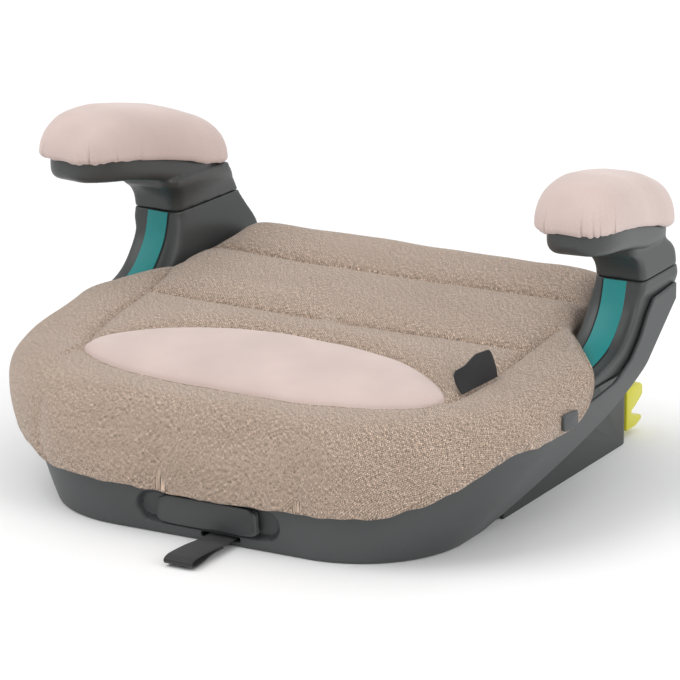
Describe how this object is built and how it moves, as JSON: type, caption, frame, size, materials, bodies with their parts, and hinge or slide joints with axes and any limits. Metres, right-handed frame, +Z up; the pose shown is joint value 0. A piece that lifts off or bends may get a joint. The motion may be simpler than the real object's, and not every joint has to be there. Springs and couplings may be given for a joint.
{
  "type": "booster seat",
  "caption": "Backless child booster seat with padded armrests, belt guides, a quilted-panel fabric cushion, a pull-out cup holder and sliding rear anchor connectors on a pull strap.",
  "frame": {"origin": "middle of the resting face under the seat, half way between the two rear anchor connectors", "axes": "+X to the sitter's left, +Y to the rear where the anchor connectors are, +Z up"},
  "size_m": [0.4716, 0.442, 0.2474],
  "materials": {
    "shell_grey": "satin",
    "dark_plastic": "fine grained",
    "panel_plastic": "satin gloss",
    "woven_cover": "heather weave",
    "smooth_cover": "smooth knit",
    "foam": "open cell",
    "black_label": "satin tape",
    "webbing": "woven tape",
    "teal_plastic": "satin",
    "lime_plastic": "satin",
    "steel": "zinc plated",
    "rubber": "matte"
  },
  "bodies": {
    "seat": {"base_shell": "shell_grey", "bottom_cover": "dark_plastic", "rear_housing": "dark_plastic", "seat_pan": "dark_plastic", "seat_foam": "foam", "seat_cover": "woven_cover", "cover_insert": "smooth_cover", "cover_tag": "black_label", "arm_lower_left": "dark_plastic", "arm_lower_right": "dark_plastic", "arm_upper_left": "dark_plastic", "arm_upper_right": "dark_plastic", "arm_foam_left": "foam", "arm_foam_right": "foam", "arm_cover_left": "smooth_cover", "arm_cover_right": "smooth_cover", "belt_guide_left": "teal_plastic", "belt_guide_right": "teal_plastic", "cover_hook_left": "shell_grey", "cover_hook_right": "shell_grey", "drawer_bezel": "dark_plastic", "drawer_runners": "dark_plastic", "pawl_pin": "steel", "pawl_spring": "steel", "base_screws": "steel", "arm_screws": "steel", "rubber_feet": "rubber"},
    "drawer": {"cup_holder": "dark_plastic", "drawer_panel": "panel_plastic"},
    "carriage": {"isofix_frame": "steel", "connector_casing_left": "dark_plastic", "connector_casing_right": "dark_plastic", "guide_fork_left": "lime_plastic", "guide_fork_right": "lime_plastic", "jaw_pin_left": "steel", "jaw_pin_right": "steel", "jaw_spring_left": "steel", "jaw_spring_right": "steel"},
    "jaw_left": {"jaw_left": "steel"},
    "jaw_right": {"jaw_right": "steel"},
    "button_left": {"release_button_left": "lime_plastic"},
    "button_right": {"release_button_right": "lime_plastic"},
    "strap": {"release_strap": "webbing"},
    "pawl": {"adjuster_pawl": "steel"}
  },
  "joints": [
    {"name": "drawer_slide", "type": "slide", "parent": "seat", "child": "drawer", "axis": [0, -1, 0], "range_m": [0, 0.095]},
    {"name": "carriage_slide", "type": "slide", "parent": "seat", "child": "carriage", "axis": [0, 1, 0], "range_m": [0, 0.1]},
    {"name": "strap_slide", "type": "slide", "parent": "seat", "child": "strap", "axis": [0, -1, 0], "range_m": [0, 0.00875], "stiffness_N_per_m": 300, "springref_m": -0.01},
    {"name": "pawl_hinge", "type": "hinge", "parent": "seat", "child": "pawl", "pos_m": [0, -0.062, 0.024], "axis": [1, 0, 0], "range_deg": [-30, 0]},
    {"name": "button_slide_left", "type": "slide", "parent": "carriage", "child": "button_left", "axis": [0, -1, 0], "range_m": [0, 0.006], "stiffness_N_per_m": 500, "springref_m": -0.008},
    {"name": "jaw_hinge_left", "type": "hinge", "parent": "carriage", "child": "jaw_left", "pos_m": [-0.14, 0.147, 0.027], "axis": [1, 0, 0], "range_deg": [0, 22]},
    {"name": "button_slide_right", "type": "slide", "parent": "carriage", "child": "button_right", "axis": [0, -1, 0], "range_m": [0, 0.006], "stiffness_N_per_m": 500, "springref_m": -0.008},
    {"name": "jaw_hinge_right", "type": "hinge", "parent": "carriage", "child": "jaw_right", "pos_m": [0.14, 0.147, 0.027], "axis": [1, 0, 0], "range_deg": [0, 22]}
  ],
  "couplings": [
    {"joint": "pawl_hinge", "follows": "strap_slide", "rad_per_m": -59.834},
    {"joint": "jaw_hinge_left", "follows": "button_slide_left", "rad_per_m": 63.989},
    {"joint": "jaw_hinge_right", "follows": "button_slide_right", "rad_per_m": 63.989}
  ]
}
